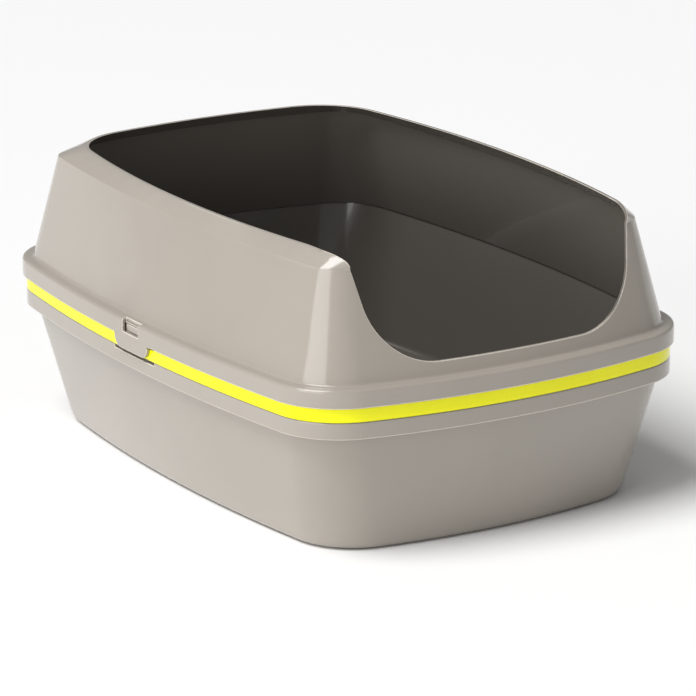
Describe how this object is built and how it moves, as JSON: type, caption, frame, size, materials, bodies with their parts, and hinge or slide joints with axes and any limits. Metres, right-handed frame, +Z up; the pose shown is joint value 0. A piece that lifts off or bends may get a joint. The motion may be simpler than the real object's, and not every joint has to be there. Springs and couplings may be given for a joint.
{
  "type": "sifting litter box",
  "caption": "Open-top sifting litter box: nested drafted pans and a slotted sifting tray under a splash frame with a low front entry and snap tabs.",
  "frame": {"origin": "centre of the box's plan at the height of the rest face under the base pan", "axes": "+Z up, +Y from the low front entry to the back, +X to the right as seen from the front"},
  "size_m": [0.3594, 0.5052, 0.2199],
  "materials": {
    "grey_plastic": "glossy warm grey moulded plastic",
    "yellow_plastic": "glossy bright yellow moulded plastic"
  },
  "bodies": {
    "base": {"base_pan": "grey_plastic"},
    "sieve": {"sifting_tray": "yellow_plastic"},
    "litter": {"litter_pan": "grey_plastic"},
    "frame": {"splash_frame": "grey_plastic"},
    "tab_left": {"snap_tab_left": "grey_plastic"},
    "tab_right": {"snap_tab_right": "grey_plastic"}
  },
  "joints": [
    {"name": "sieve_lift", "type": "slide", "parent": "base", "child": "sieve", "axis": [0, 0, 1], "range_m": [0, 0.12]},
    {"name": "litter_lift", "type": "slide", "parent": "sieve", "child": "litter", "axis": [0, 0, 1], "range_m": [0, 0.12]},
    {"name": "frame_lift", "type": "slide", "parent": "litter", "child": "frame", "axis": [0, 0, 1], "range_m": [0, 0.12]},
    {"name": "tab_left_flex", "type": "hinge", "parent": "frame", "child": "tab_left", "pos_m": [-0.1797, 0, 0.117], "axis": [0, 1, 0], "range_deg": [0, 8], "stiffness_Nm_per_rad": 0.5},
    {"name": "tab_right_flex", "type": "hinge", "parent": "frame", "child": "tab_right", "pos_m": [0.1797, 0, 0.117], "axis": [0, -1, 0], "range_deg": [0, 8], "stiffness_Nm_per_rad": 0.5}
  ]
}
